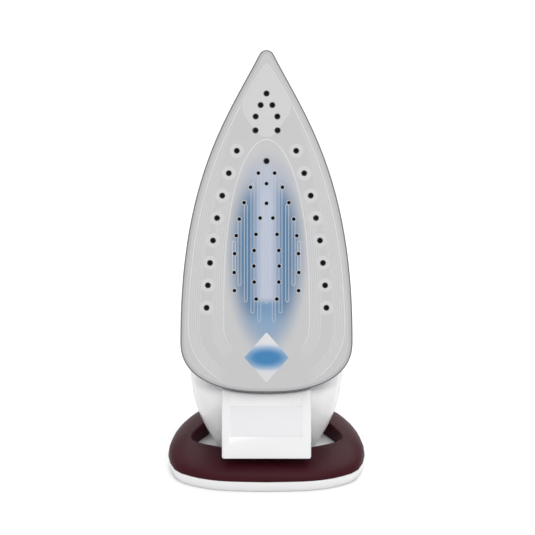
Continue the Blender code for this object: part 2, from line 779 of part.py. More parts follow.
def make_nozzle():
    profile = [
        (0.0062, 0.0075), (0.0066, 0.0040), (0.0060, 0.0014), (0.0040, 0.0012),
        (0.0040, -0.0070), (0.0013, -0.0070), (0.0013, 0.0045), (0.0030, 0.0075),
    ]
    turned("spray_nozzle", profile, (0, NOZZLE_DEPTH, NOZZLE_ALONG + 0.0005), (0, 0, 1),
           "grey_plastic", 18, True)


def make_pumps():
    """Two pumps side by side, each with its button, plunger, spring and suction tube."""
    for side, label in ((-1, "spray"), (1, "boost")):
        x = side * PUMP_ACROSS
        length = PUMP_HIGH - PUMP_LOW
        turned(
            f"{label}_pump_body",
            [(PUMP_RADIUS, length), (PUMP_RADIUS, 0), (0.0018, 0), (0.0018, 0.003),
             (PUMP_BORE, 0.003), (PUMP_BORE, length)],
            (x, PUMP_LOW, PUMP_ALONG), (0, 1, 0), "white_plastic", 14, True,
        )
        sleeve(f"{label}_suction_tube", (x, TANK_FLOOR + TANK_WALL + 0.003, PUMP_ALONG), (0, 1, 0),
               PUMP_LOW - GAP - TANK_FLOOR - TANK_WALL - 0.003, SUCTION_RADIUS, 0.0014, "rubber", 10)
        button = handle_form(f"{label}_button", 0.0012, "burgundy")
        boolean(button, rounded_prism(f"{label}_button_outline", x, PUMP_ALONG, BUTTON_HALF,
                                      BUTTON_LENGTH / 2, 0.0026, BUTTON_FOOT, 0.16), "INTERSECT")
        cut(button, handle_form(f"{label}_button_under", -BUTTON_DEEP))
        plunger = [
            (0, HANDLE_TOP), (0.0017, HANDLE_TOP), (0.0017, PUMP_HIGH - 0.010),
            (PUMP_BORE - FIT, PUMP_HIGH - 0.010), (PUMP_BORE - FIT, PUMP_HIGH - 0.014),
            (0, PUMP_HIGH - 0.014),
        ]
        stem = turned(f"{label}_plunger", plunger, (x, 0, PUMP_ALONG), (0, 1, 0), "steel", 12)
        boolean(stem, handle_form(f"{label}_plunger_top", -BUTTON_DEEP - GAP), "INTERSECT")
        put_origin(button, (x, PUMP_HIGH, PUMP_ALONG))
        make_spring(f"{label}_spring", x, PUMP_HIGH + GAP, PUMP_HIGH + SPRING_PRESSED)


def make_spring(name, across, low, high, turns=3, wire_radius=0.0004, radius=0.0033):
    points = []
    steps = 8 * turns
    for i in range(steps + 1):
        turn = 2 * math.pi * i / 8
        depth = low + wire_radius + (high - low - 2 * wire_radius) * i / steps
        points.append((across + radius * math.cos(turn), depth, PUMP_ALONG + radius * math.sin(turn)))
    wire(name, points, wire_radius, "steel")


def make_steam_control():
    top = HANDLE_TOP + GAP
    knob = rounded_prism("steam_slider", 0, SLIDER_ALONG, 0.0062, 0.0075, 0.003, top, top + 0.0032,
                         "burgundy")
    soften(knob, 0.0007, 1)
    stem = box("slider_stem", (-0.0022, HANDLE_TOP - 0.0072, SLIDER_ALONG - 0.0035),
               (0.0022, top + 0.001, SLIDER_ALONG + 0.0035))
    foot = box("slider_foot", (-0.0048, HANDLE_TOP - 0.0072, SLIDER_ALONG - 0.0050),
               (0.0048, HANDLE_TOP - 0.0052, SLIDER_ALONG + 0.0050))
    join(knob, stem, foot)
    put_origin(knob, (0, HANDLE_TOP, SLIDER_ALONG))
    rod_low, rod_high = BODY_FLOOR + 0.0085, HANDLE_TOP - 0.032
    rod("valve_rod", (0, rod_low, ROD_ALONG), (0, rod_high, ROD_ALONG), ROD_RADIUS, "steel", 10)
    valve_top = TANK_FLOOR - 2 * GAP - 0.0012
    sleeve("valve_body", (0, COVER_TOP + GAP, ROD_ALONG), (0, 1, 0), valve_top - COVER_TOP - GAP,
           0.0045, ROD_RADIUS + FIT, "brass", 12)
    sleeve("tank_gasket", (0, valve_top + GAP, ROD_ALONG), (0, 1, 0), 0.0012, 0.0052, ROD_RADIUS + FIT,
           "rubber", 12)


def make_dial():
    base = DECK + 0.0025
    profile = [
        (0, DIAL_HEIGHT), (DIAL_RADIUS - 0.0035, DIAL_HEIGHT), (DIAL_RADIUS - 0.001, DIAL_HEIGHT - 0.0015),
        (DIAL_RADIUS, DIAL_HEIGHT - 0.003), (DIAL_RADIUS, 0.0010), (DIAL_RADIUS - 0.001, 0), (0, 0),
    ]
    dial = turned("temperature_dial", profile, (0, base, DIAL_ALONG), (0, 1, 0), "white_plastic", 28)
    ridge = box("dial_pointer", (-0.0012, base + DIAL_HEIGHT - 0.001, DIAL_ALONG + 0.002),
                (0.0012, base + DIAL_HEIGHT + 0.0014, DIAL_ALONG + DIAL_RADIUS - 0.002))
    join(dial, ridge)
    shaft_low = COVER_TOP + GAP + 0.008 + GAP
    rod("thermostat_shaft", (0, shaft_low, DIAL_ALONG), (0, base - GAP, DIAL_ALONG), SHAFT_RADIUS,
        "steel", 12)


# ---------------------------------------------------------------- filler door

def surface_depth(along):
    """The depth of the form's back surface on the middle plane."""
    rows = smooth_rows(body_stations(), 2)
    order = np.argsort(rows[:, 3])
    return float(np.interp(along, rows[order, 3], rows[order, 2]))


HINGE_ALONG = DOOR_ALONG + DOOR_LENGTH / 2 + HINGE_RADIUS + FIT
HINGE_DEPTH = surface_depth(HINGE_ALONG) + HINGE_RADIUS + 0.0011


def make_door():
    door = body_form("filler_door", DOOR_THICK + GAP, "burgundy")
    shape = rounded_prism("door_outline", 0, DOOR_ALONG, DOOR_HALF, DOOR_LENGTH / 2, 0.0035, 0.030, 0.090)
    boolean(door, shape, "INTERSECT")
    knuckle = rod("door_knuckle", (-0.0046, HINGE_DEPTH, HINGE_ALONG), (0.0046, HINGE_DEPTH, HINGE_ALONG),
                  HINGE_RADIUS, None, 12)
    web_depth = surface_depth(HINGE_ALONG - 0.003)
    web = box("door_web", (-0.0046, web_depth + 0.0010, HINGE_ALONG - 0.0045),
              (0.0046, HINGE_DEPTH + 0.0014, HINGE_ALONG))
    join(door, knuckle, web)
    cut(door, FORM_CLEAR)
    cut(door, rod("knuckle_bore", (-0.012, HINGE_DEPTH, HINGE_ALONG), (0.012, HINGE_DEPTH, HINGE_ALONG),
                  PIN_RADIUS + GAP, None, 10))
    put_origin(door, (0, HINGE_DEPTH, HINGE_ALONG))
    end = DOOR_HALF * 0.62 + 0.0012
    rod("filler_hinge_pin", (-end, HINGE_DEPTH, HINGE_ALONG), (end, HINGE_DEPTH, HINGE_ALONG), PIN_RADIUS,
        "steel", 10)


# ---------------------------------------------------------------- scale collector

def make_collector():
    """The removable collector: a framed block hanging over the heel, with a hollow tongue behind."""
    shape = [(-COLLECTOR_HALF, SOLE_REAR - 0.06), (COLLECTOR_HALF, SOLE_REAR - 0.06)]
    steps = 10
    for i in range(steps + 1):
        across = COLLECTOR_HALF * (1 - 2 * i / steps)
        rear = float(np.interp(abs(across), SIDE[:24, 0], SIDE[:24, 1]))
        shape.append((across, rear - 0.0007))
    rings = [[(x, y, z) for x, z in shape] for y in (COLLECTOR_FACE, 0.045)]
    block = loft("scale_collector", rings, "white_plastic")
    cut(block, box("collector_trim", (-0.1, -0.3, -0.1), (0.1, 0.3, COLLECTOR_BOTTOM), None, True))
    soften(block, 0.0014, 2, 30)
    cut(block, FORM_CLEAR)
    frame_low, frame_high = SOLE_REAR - 0.0332, SOLE_REAR - 0.0081
    cut(block, box("panel_recess", (-0.0250, COLLECTOR_FACE - 0.004, frame_low + 0.0021),
                   (0.0250, COLLECTOR_FACE + 0.0006, frame_high - 0.0017)))
    tongue = box("collector_tongue", (-TONGUE_HALF, COLLECTOR_FACE + 0.0022, TONGUE_LOW),
                 (TONGUE_HALF, TONGUE_DEPTH, TONGUE_TOP))
    join(block, tongue)
    cut(block, box("collector_cup", (-TONGUE_HALF + 0.002, 0.032, TONGUE_LOW + 0.002),
                   (TONGUE_HALF - 0.002, TONGUE_DEPTH - 0.002, TONGUE_TOP + 0.01)))
    put_origin(block, (0, COLLECTOR_FACE, (TONGUE_LOW + TONGUE_TOP) / 2))
    seat = TONGUE_TOP + GAP
    edge = TONGUE_HALF - 0.0004
    seal = box("collector_seal", (-edge, 0.031, seat), (edge, TONGUE_DEPTH - 0.0004, seat + SEAL_HEIGHT),
               "rubber")
    cut(seal, box("seal_window", (0.002 - edge, 0.033, seat - 0.01),
                  (edge - 0.002, TONGUE_DEPTH - 0.0024, seat + 0.01)))


# ---------------------------------------------------------------- rear fittings

def make_rear_fittings():
    axis = gland_axis()
    profile = [
        (0.0070, 0.0215), (0.0074, 0.0200), (0.0070, 0.0180), (GLAND_RADIUS, 0.0176),
        (GLAND_RADIUS, 0.0086),
        (0.0072, 0.0084), (0.0072, 0.0060), (GLAND_BORE, 0.0060), (GLAND_BORE, 0.0200), (0.0045, 0.0215),
    ]
    turned("cord_gland", profile, GLAND_SPOT, axis, "grey_plastic", 20, True)
    box("circuit_board", (-0.018, 0.060, SOLE_REAR - 0.0010), (0.018, 0.092, SOLE_REAR + 0.0006),
        "board_green")
    box("terminal_block", (-0.011, 0.068, SOLE_REAR - 0.0200), (0.011, 0.084, SOLE_REAR - 0.0080),
        "white_plastic", False, 0.0008)
    surface = HANDLE_TOP - 0.0003
    lens = [
        (0, 0.0014), (0.0018, 0.0010), (0.0028, 0), (0.0028, -0.0035), (0, -0.0035),
    ]
    turned("indicator_lens", lens, (0, surface, LENS_ALONG), (0, 1, 0), "amber", 14)
    lamp = [(0, 0.005), (0.0012, 0.0046), (0.0018, 0.0035), (0.0018, 0), (0, 0)]
    turned("indicator_lamp", lamp, (0, surface - 0.0092, LENS_ALONG), (0, 1, 0), "amber", 12)


# ---------------------------------------------------------------- heel

def heel_curve(rows, count):
    """A closed plan curve through the right half's points of (across, run from the heel's front)."""
    right = smooth_rows(rows, count)
    left = [(-x, y) for x, y in right[-2:0:-1]]
    return [(float(x), HEEL_FRONT + float(y)) for x, y in list(right) + left]


def heel_outer():
    w, d = HEEL_WIDTH / 2, HEEL_DEPTH
    rows = [
        (0, 0), (0.36 * w, 0.009 * d), (0.573 * w, 0.031 * d), (0.765 * w, 0.078 * d),
        (0.925 * w, 0.160 * d),
        (w, 0.340 * d), (0.975 * w, 0.51 * d), (0.920 * w, 0.635 * d), (0.845 * w, 0.74 * d),
        (0.725 * w, 0.84 * d), (0.54 * w, 0.925 * d), (0.28 * w, 0.981 * d), (0, d),
    ]
    return heel_curve(rows, 2)


def heel_inner():
    """The collar's opening, with the same count of points and in step with the outer curve."""
    w, d = HEEL_WIDTH / 2, HEEL_DEPTH
    rows = [
        (0, 0.238 * d), (0.19 * w, 0.245 * d), (0.36 * w, 0.265 * d), (0.54 * w, 0.305 * d),
        (0.71 * w, 0.352 * d),
        (0.765 * w, 0.40 * d), (0.695 * w, 0.49 * d), (0.612 * w, 0.57 * d), (0.545 * w, 0.65 * d),
        (0.465 * w, 0.735 * d), (0.34 * w, 0.81 * d), (0.17 * w, 0.86 * d), (0, 0.872 * d),
    ]
    return heel_curve(rows, 2)


def between(outer, inner, share):
    return [(a[0] + (b[0] - a[0]) * share, a[1] + (b[1] - a[1]) * share) for a, b in zip(outer, inner)]


def shrunk(curve, amount):
    """A plan curve drawn in by an amount, measured along its own normals."""
    made = []
    for i, (x, y) in enumerate(curve):
        before, after = curve[i - 1], curve[(i + 1) % len(curve)]
        way = Vector((after[0] - before[0], after[1] - before[1])).normalized()
        made.append((x - way[1] * amount, y + way[0] * amount))
    return made


def make_heel():
    outer, inner = heel_outer(), heel_inner()
    rings = []
    for inset, z in ((0.0022, 0), (0.0014, 0.0004), (0, 0.0060), (0, HEEL_RIM)):
        rings.append([(x, y, z) for x, y in shrunk(outer, inset)])
    for share, z in ((PLATFORM_SHARE, HEEL_RIM), (PLATFORM_SHARE + 0.03, HEEL_FLOOR)):
        rings.append([(x, y, z) for x, y in between(outer, inner, share)])
    rim = loft("heel_plate", rings, "white_plastic", True)
    seat = HEEL_RIM + GAP
    collar = []
    for share, lift, wall in (
        (0.0, 0.0, 0), (0.015, 0.20, 0), (0.06, 0.36, 0), (0.15, 0.51, 0), (0.32, 0.69, 0), (0.58, 0.87, 0),
        (0.82, 0.975, 0), (0.93, 1.0, 0), (0.985, 0.97, 0), (1.0, 0.90, 0), (1.0, -0.30, 0),
        (0.93, -0.30, 0),
        (0.90, 0.70, 1), (0.58, 0.62, 1), (0.25, 0.34, 1), (0.12, 0.0, 1),
    ):
        ring = []
        for (x, y), front in zip(between(outer, inner, share), outer):
            run = (front[1] - HEEL_FRONT) / HEEL_DEPTH
            height = COLLAR_HEIGHT + COLLAR_RISE * max(run - 0.15, 0)
            floor = HEEL_FLOOR + GAP - seat
            ring.append((x, y, seat + (lift * height if lift >= 0 else floor)))
        collar.append(ring)
    collar = loft("heel_collar", collar, "burgundy", True, True)
    spots = [(0.62, 0.20), (-0.62, 0.20), (0.74, 0.55), (-0.74, 0.55)]
    for number, (fx, fy) in enumerate(spots, 1):
        x, y = fx * HEEL_WIDTH / 2, HEEL_FRONT + fy * HEEL_DEPTH
        boss_top = seat + BOSS_REACH * COLLAR_HEIGHT
        join(collar, rod(f"heel_boss_{number}", (x, y, HEEL_FLOOR + GAP), (x, y, boss_top),
                         0.0036, None, 12, True))
        tip = HEEL_SINK + HEEL_SCREW + FIT
        bore = rod(f"heel_bore_{number}", (x, y, -0.001), (x, y, tip), SCREW_RADIUS + GAP, None, 8, True)
        sink_top = HEEL_SINK + GAP
        sink = rod(f"heel_sink_{number}", (x, y, -0.001), (x, y, sink_top), SCREW_HEAD + FIT, None, 12, True)
        cut(rim, bore, sink)
        cut(collar, bore)
        make_screw(f"heel_screw_{number}", (x, y, HEEL_SINK), (0, 0, -1), HEEL_SCREW, True)


FORM_CLEAR = body_form("form_clearance", GAP)
make_soleplate()
make_steam_side()
make_body()
make_tank()
make_handle()
make_nozzle()
make_pumps()
make_steam_control()
make_dial()
make_door()
make_collector()
make_rear_fittings()
make_heel()
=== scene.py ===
"""Looks of the standing steam iron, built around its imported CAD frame. Metres, +Z up."""
import json
import math

import bmesh
import bpy
import numpy as np
from mathutils import Matrix, Vector


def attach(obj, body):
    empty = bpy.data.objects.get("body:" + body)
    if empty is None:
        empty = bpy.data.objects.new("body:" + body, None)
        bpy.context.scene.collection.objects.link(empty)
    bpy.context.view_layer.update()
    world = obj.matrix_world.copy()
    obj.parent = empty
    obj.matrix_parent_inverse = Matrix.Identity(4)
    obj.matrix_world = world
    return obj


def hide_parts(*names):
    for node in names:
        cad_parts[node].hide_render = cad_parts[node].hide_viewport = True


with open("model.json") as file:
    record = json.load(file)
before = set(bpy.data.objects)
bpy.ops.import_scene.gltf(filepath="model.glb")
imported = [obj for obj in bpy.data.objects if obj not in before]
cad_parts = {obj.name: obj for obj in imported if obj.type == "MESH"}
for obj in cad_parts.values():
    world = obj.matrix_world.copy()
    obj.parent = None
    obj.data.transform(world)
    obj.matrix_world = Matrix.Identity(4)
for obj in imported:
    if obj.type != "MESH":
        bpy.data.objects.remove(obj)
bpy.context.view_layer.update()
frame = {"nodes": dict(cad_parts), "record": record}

NODES = frame["nodes"]
OWNER = {}
for body_name, members in frame["record"]["behaviour"]["bodies"].items():
    for member in members:
        OWNER[member] = body_name

# ---------------------------------------------------------------- sizes, in metres
# The leaned frame: X across, Y the depth behind the soleplate's face, Z along the soleplate to its tip.
LEAN = math.radians(20)
SOLE_LINE = -0.0725
LEANED = Matrix.Translation((0, SOLE_LINE, 0)) @ Matrix.Rotation(-LEAN, 4, "X")
SOLE_LENGTH = 0.240
SOLE_HALF = 0.0604
SOLE_REAR = 0.0724
SOLE_TIP = SOLE_REAR + SOLE_LENGTH
SHOULDER = 0.0366
SOLE_THICK = 0.0032
TIP_RADIUS = 0.0056
COLLECTOR_FACE = 0.0062
PANEL_HALF = 0.0252
PANEL_LOW = SOLE_REAR - 0.0312
PANEL_HIGH = SOLE_REAR - 0.0097
OUTER_HOLE = 0.0017
INNER_HOLE = 0.00115


# ---------------------------------------------------------------- node materials

class Value:
    """A shader value that ordinary arithmetic turns into Math nodes."""

    def __init__(self, tree, socket):
        self.tree, self.socket = tree, socket

    def math(self, operation, *others, clamp=False):
        node = self.tree.nodes.new("ShaderNodeMath")
        node.operation = operation
        node.use_clamp = clamp
        for slot, item in zip(node.inputs, (self, *others)):
            if isinstance(item, Value):
                self.tree.links.new(item.socket, slot)
            else:
                slot.default_value = item
        return Value(self.tree, node.outputs[0])

    def __add__(self, other):
        return self.math("ADD", other)

    def __sub__(self, other):
        return self.math("SUBTRACT", other)

    def __mul__(self, other):
        return self.math("MULTIPLY", other)

    def __truediv__(self, other):
        return self.math("DIVIDE", other)

    def abs(self):
        return self.math("ABSOLUTE")

    def power(self, other):
        return self.math("POWER", other)

    def ramp(self, low, high):
        """0 at low, 1 at high, smooth between them."""
        node = self.tree.nodes.new("ShaderNodeMapRange")
        node.interpolation_type = "SMOOTHSTEP"
        self.tree.links.new(self.socket, node.inputs["Value"])
        flip = low > high
        node.inputs["From Min"].default_value = high if flip else low
        node.inputs["From Max"].default_value = low if flip else high
        node.inputs["To Min"].default_value = 1.0 if flip else 0.0
        node.inputs["To Max"].default_value = 0.0 if flip else 1.0
        return Value(self.tree, node.outputs["Result"])


class Paint:
    """A Principled material under construction."""

    def __init__(self, name, colour, rough, metal=0.0, **sockets):
        self.material = bpy.data.materials.new(name)
        self.material.use_nodes = True
        self.tree = self.material.node_tree
        self.shader = self.tree.nodes["Principled BSDF"]
        self.shader.inputs["Base Color"].default_value = (*colour, 1)
        self.shader.inputs["Roughness"].default_value = rough
        self.shader.inputs["Metallic"].default_value = metal
        for key, value in sockets.items():
            self.shader.inputs[key.replace("_", " ")].default_value = value
        self.colour = None
        place = self.tree.nodes.new("ShaderNodeTexCoord")
        lean = self.tree.nodes.new("ShaderNodeMapping")
        lean.vector_type = "TEXTURE"
        lean.inputs["Location"].default_value = (0, SOLE_LINE, 0)
        lean.inputs["Rotation"].default_value = (-LEAN, 0, 0)
        self.tree.links.new(place.outputs["Object"], lean.inputs["Vector"])
        self.place = lean.outputs["Vector"]
        split = self.tree.nodes.new("ShaderNodeSeparateXYZ")
        self.tree.links.new(self.place, split.inputs[0])
        self.x, self.y, self.z = (Value(self.tree, out) for out in split.outputs)
        self.base = colour

    def noise(self, scale, detail=2.0, stretch=None, rough=0.5):
        node = self.tree.nodes.new("ShaderNodeTexNoise")
        node.inputs["Scale"].default_value = scale
        node.inputs["Detail"].default_value = detail
        node.inputs["Roughness"].default_value = rough
        source = self.place
        if stretch:
            mapping = self.tree.nodes.new("ShaderNodeMapping")
            mapping.inputs["Scale"].default_value = stretch
            self.tree.links.new(source, mapping.inputs["Vector"])
            source = mapping.outputs["Vector"]
        self.tree.links.new(source, node.inputs["Vector"])
        return Value(self.tree, node.outputs["Fac"])

    def tint(self, amount, colour):
        """Mix the base colour so far towards a colour by an amount from 0 to 1."""
        node = self.tree.nodes.new("ShaderNodeMix")
        node.data_type = "RGBA"
        self.tree.links.new(amount.socket, node.inputs[0])
        if self.colour is None:
            node.inputs[6].default_value = (*self.base, 1)
        else:
            self.tree.links.new(self.colour, node.inputs[6])
        node.inputs[7].default_value = (*colour, 1)
        self.colour = node.outputs[2]
        return self

    def roughen(self, value):
        self.tree.links.new(value.socket, self.shader.inputs["Roughness"])
        return self

    def bump(self, height, strength, distance):
        node = self.tree.nodes.new("ShaderNodeBump")
        node.inputs["Strength"].default_value = strength
        node.inputs["Distance"].default_value = distance
        self.tree.links.new(height.socket, node.inputs["Height"])
        self.tree.links.new(node.outputs["Normal"], self.shader.inputs["Normal"])
        return self

    def done(self):
        if self.colour is not None:
            self.tree.links.new(self.colour, self.shader.inputs["Base Color"])
        return self.material


def srgb(red, green, blue):
    return tuple(((c / 255 + 0.055) / 1.055) ** 2.4 if c > 10 else c / 3294 for c in (red, green, blue))


def scaled(colour, share):
    return tuple(c * share for c in colour)


def plastic(name, colour, rough, grain=1500, depth=0.00003, **sockets):
    """Moulded plastic: a fine grain, faint flow marks and a slightly uneven gloss."""
    paint = Paint(name, colour, rough, **sockets)
    flow = paint.noise(38, 3)
    paint.tint(flow.ramp(0.35, 0.75) * 0.5, scaled(colour, 0.965))
    speck = paint.noise(grain, 2)
    paint.roughen(flow * 0.06 + (speck * 0.05 + (rough - 0.05)))
    paint.bump(speck, 0.35, depth)
    return paint.done()


def metal(name, colour, rough, brushed=(1, 1, 1), scale=900, depth=0.00002):
    paint = Paint(name, colour, rough, 1.0)
    grain = paint.noise(scale, 3, brushed)
    paint.tint(grain.ramp(0.3, 0.8), scaled(colour, 0.82))
    paint.roughen(grain * 0.16 + (rough - 0.08))
    paint.bump(grain, 0.4, depth)
    return paint.done()


GREY = srgb(188, 188, 189)
WHITE = srgb(231, 231, 232)
WINE = srgb(56, 14, 23)


def ceramic(name, colour, blue_share=1.0, rough=0.34):
    """The soleplate's enamel: satin grey with a fine mottle, and a blue fade inside the arch."""
    paint = Paint(name, colour, rough, 0.0, Specular_IOR_Level=0.35)
    mottle = paint.noise(160, 4)
    paint.tint(mottle.ramp(0.3, 0.75) * 0.4, scaled(colour, 0.955))
    if blue_share:
        across = paint.x.abs()
        high = (paint.z - 0.1687).abs()
        reach = ((across / 0.0298).power(2.0) + (high / 0.0725).power(2.0)).power(0.5)
        veil = reach.ramp(1.04, 0.55) * blue_share
        paint.tint(veil * 0.95, srgb(74, 114, 150))
        crown = paint.z.ramp(0.2050, 0.2360) * reach.ramp(1.06, 0.80) * blue_share
        paint.tint(crown * 0.85, srgb(178, 180, 192))
        foot = paint.z.ramp(0.1330, 0.1180) * veil
        paint.tint(foot * 0.55, srgb(150, 172, 196))
        middle = across.ramp(0.0125, 0.0020) * reach.ramp(0.98, 0.55) * blue_share
        paint.tint(middle * 0.55 * paint.z.ramp(0.1395, 0.1330), srgb(126, 158, 190))
        paint.tint(middle * 0.9 * paint.z.ramp(0.1330, 0.1395), srgb(184, 190, 206))
    speck = paint.noise(1400, 2)
    paint.roughen(mottle * 0.10 + (rough - 0.05))
    paint.bump(speck, 0.25, 0.00002)
    return paint.done()


def badge_paint():
    """Pale enamel with a blue cloud across its middle."""
    paint = Paint("badge_enamel", srgb(206, 206, 209), 0.30, Specular_IOR_Level=0.35)
    across, high = paint.x.abs(), (paint.z - 0.0968).abs()
    reach = ((across / 0.0225).power(2.0) + (high / 0.0104).power(2.0)).power(0.5)
    paint.tint(reach.ramp(1.02, 0.62), srgb(170, 188, 208))
    paint.tint(reach.ramp(0.98, 0.30), srgb(60, 122, 170))
    paint.bump(paint.noise(1400, 2), 0.25, 0.00002)
    return paint.done()


def clear_plastic(name, colour, rough=0.12):
    paint = Paint(name, colour, rough, Transmission_Weight=0.72, IOR=1.46)
    flow = paint.noise(30, 3)
    paint.tint(flow.ramp(0.3, 0.8) * 0.4, scaled(colour, 0.86))
    paint.roughen(flow * 0.08 + (rough - 0.03))
    paint.bump(flow, 0.15, 0.0002)
    return paint.done()


MATERIALS = {
    "sole": ceramic("sole_enamel", GREY),
    "sole_line": ceramic("sole_line_enamel", srgb(207, 207, 209), 0.35),
    "sole_halo": ceramic("sole_halo_enamel", srgb(198, 198, 199), 0.0),
    "sole_tip": ceramic("sole_tip_enamel", srgb(197, 197, 198), 0.0),
    "sole_band": ceramic("sole_band_enamel", srgb(176, 176, 177), 0.0),
    "sole_edge": plastic("sole_edge_dark", srgb(104, 104, 109), 0.5),
    "hole_rim": plastic("hole_rim_dark", srgb(92, 90, 90), 0.55),
    "badge": badge_paint(),
    # Near-black painted shade for the walls and chamfers of the steam holes, and for the sheet behind them.
    "bore": plastic("bore_painted_shade", srgb(26, 24, 24), 0.7),
    "white": plastic("white_gloss", WHITE, 0.26, Coat_Weight=0.25, Coat_Roughness=0.12),
    "white_inner": plastic("white_satin", srgb(226, 226, 228), 0.42),
    "wine": plastic("wine_satin", WINE, 0.46, 2200, 0.00005, Specular_IOR_Level=0.12),
    "wine_grip": plastic("wine_soft_touch", srgb(56, 16, 24), 0.62, 1100, 0.00008, Specular_IOR_Level=0.12),
    "grey": plastic("grey_satin", srgb(120, 120, 124), 0.45),
    "dark": plastic("dark_grey_plastic", srgb(62, 62, 66), 0.5),
    "clear": clear_plastic("tank_tinted", srgb(214, 160, 172)),
    "rubber": plastic("black_rubber", srgb(34, 34, 35), 0.75, 900, 0.00006),
    "board": plastic("board_green", srgb(38, 110, 66), 0.45),
    "amber": clear_plastic("amber_lens", srgb(255, 150, 52), 0.10),
    "cast": metal("cast_aluminium", srgb(150, 152, 155), 0.50, (1, 1, 1), 500, 0.00008),
    "steel": metal("steel_bright", srgb(190, 192, 196), 0.28, (1, 1, 5)),
    "brass": metal("brass_turned", srgb(206, 166, 88), 0.30, (1, 5, 1)),
}


# ---------------------------------------------------------------- pieces

def piece(name, mesh, paint, body, replaces=(), leaned=True, angle=35):
    """A finished piece: placed, painted, smooth-shaded, riding on its body."""
    obj = bpy.data.objects.new(name, mesh)
    bpy.context.scene.collection.objects.link(obj)
    for key in (paint if isinstance(paint, (list, tuple)) else [paint]):
        mesh.materials.append(MATERIALS[key])
    if leaned:
        mesh.transform(LEANED)
    mesh.shade_smooth()
    mesh.set_sharp_from_angle(angle=math.radians(angle))
    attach(obj, body)
    if replaces:
        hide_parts(*replaces)
    return obj


def mesh_of(name, bm):
    bmesh.ops.recalc_face_normals(bm, faces=bm.faces)
    mesh = bpy.data.meshes.new(name)
    bm.to_mesh(mesh)
    bm.free()
    return mesh


def skin(bm, rings, closed=False, caps=True, material_at=None):
    """Skin rings of equal length into a bmesh. A closed skin joins its last ring to its first."""
    rows = [[bm.verts.new(point) for point in ring] for ring in rings]
    pairs = list(zip(rows, rows[1:]))
    if closed:
        pairs.append((rows[-1], rows[0]))
    for level, (low, high) in enumerate(pairs):
        for i in range(len(low)):
            j = (i + 1) % len(low)
            face = bm.faces.new((low[i], low[j], high[j], high[i]))
            if material_at:
                face.material_index = material_at[level]
    if caps and not closed:
        bm.faces.new(list(reversed(rows[0])))
        bm.faces.new(rows[-1])
    return rows


def loft_mesh(name, rings, closed=False, caps=True):
    bm = bmesh.new()
    skin(bm, rings, closed, caps)
    return mesh_of(name, bm)


def smooth_rows(rows, steps):
    """A Catmull-Rom curve through rows of numbers."""
    rows = np.array(rows, float)
    padded = np.vstack([2 * rows[0] - rows[1], rows, 2 * rows[-1] - rows[-2]])
    made = []
    for i in range(1, len(padded) - 2):
        a, b, c, d = padded[i - 1 : i + 3]
        for t in np.arange(steps) / steps:
            made.append(0.5 * (2 * b + (c - a) * t + (2 * a - 5 * b + 4 * c - d) * t**2
                               + (3 * b - a - 3 * c + d) * t**3))
    made.append(rows[-1])
    return np.array(made)


def refined(node, paint, angle=32):
    """A carried-over part with welded, smooth-shaded faces and its own material."""
    source = NODES[node]
    bm = bmesh.new()
    bm.from_mesh(source.data)
    bmesh.ops.remove_doubles(bm, verts=bm.verts, dist=0.000004)
    for face in bm.faces:
        face.material_index = 0
    mesh = bpy.data.meshes.new(node + "_look")
    bm.to_mesh(mesh)
    bm.free()
    mesh.materials.clear()
    return piece(node + "_look", mesh, paint, OWNER[node], [node], False, angle)


# ---------------------------------------------------------------- soleplate

def sole_side(rear_steps, side_steps, tip_steps):
    """The right half of the soleplate's outline, as (across, along) from the rear to the tip."""
    shoulder = SOLE_REAR + SHOULDER
    power = 2 / 2.4
    points = []
    for i in range(rear_steps):
        turn = math.pi / 2 * i / rear_steps
        points.append((SOLE_HALF * math.sin(turn) ** power, shoulder - SHOULDER * math.cos(turn) ** power))
    slope = 2.06 * SOLE_HALF / SOLE_LENGTH
    lean = math.atan(slope)
    start = (TIP_RADIUS * math.cos(lean), SOLE_TIP - TIP_RADIUS * (1 - math.sin(lean)))
    side = start[1] - shoulder
    handles = (
        (SOLE_HALF, shoulder), (SOLE_HALF, shoulder + 0.565 * side),
        (start[0] + 0.221 * side * slope, start[1] - 0.221 * side), start,
    )
    for i in range(side_steps):
        t = i / side_steps
        weights = ((1 - t) ** 3, 3 * t * (1 - t) ** 2, 3 * t * t * (1 - t), t**3)
        points.append(tuple(sum(w * p[k] for w, p in zip(weights, handles)) for k in (0, 1)))
    for i in range(tip_steps + 1):
        turn = lean + (math.pi / 2 - lean) * i / tip_steps
        points.append((TIP_RADIUS * math.cos(turn), SOLE_TIP - TIP_RADIUS + TIP_RADIUS * math.sin(turn)))
    points[0] = (0.0, points[0][1])
    points[-1] = (0.0, points[-1][1])
    return points


SIDE = np.array(sole_side(30, 60, 10))


def sole_half(along):
    return float(np.interp(along, SIDE[:, 1], SIDE[:, 0]))


def inset_points(points, amount):
    """A closed plan curve drawn in by an amount along its own normals."""
    made = []
    for i, (x, z) in enumerate(points):
        before, after = points[i - 1], points[(i + 1) % len(points)]
        way = Vector((after[0] - before[0], after[1] - before[1])).normalized()
        made.append((x - way[1] * amount, z + way[0] * amount))
    return made


def sole_outline():
    half = [tuple(p) for p in SIDE]
    return half + [(-x, z) for x, z in reversed(half[1:-1])]


ARCH_ALONG = (0.1621, 0.1537, 0.1438, 0.1330, 0.1215, 0.1099, 0.0973, 0.0841, 0.0714)
COLUMN_ALONG = (0.1463, 0.1325, 0.1222, 0.1108, 0.0995, 0.0886, 0.0774, 0.0655)


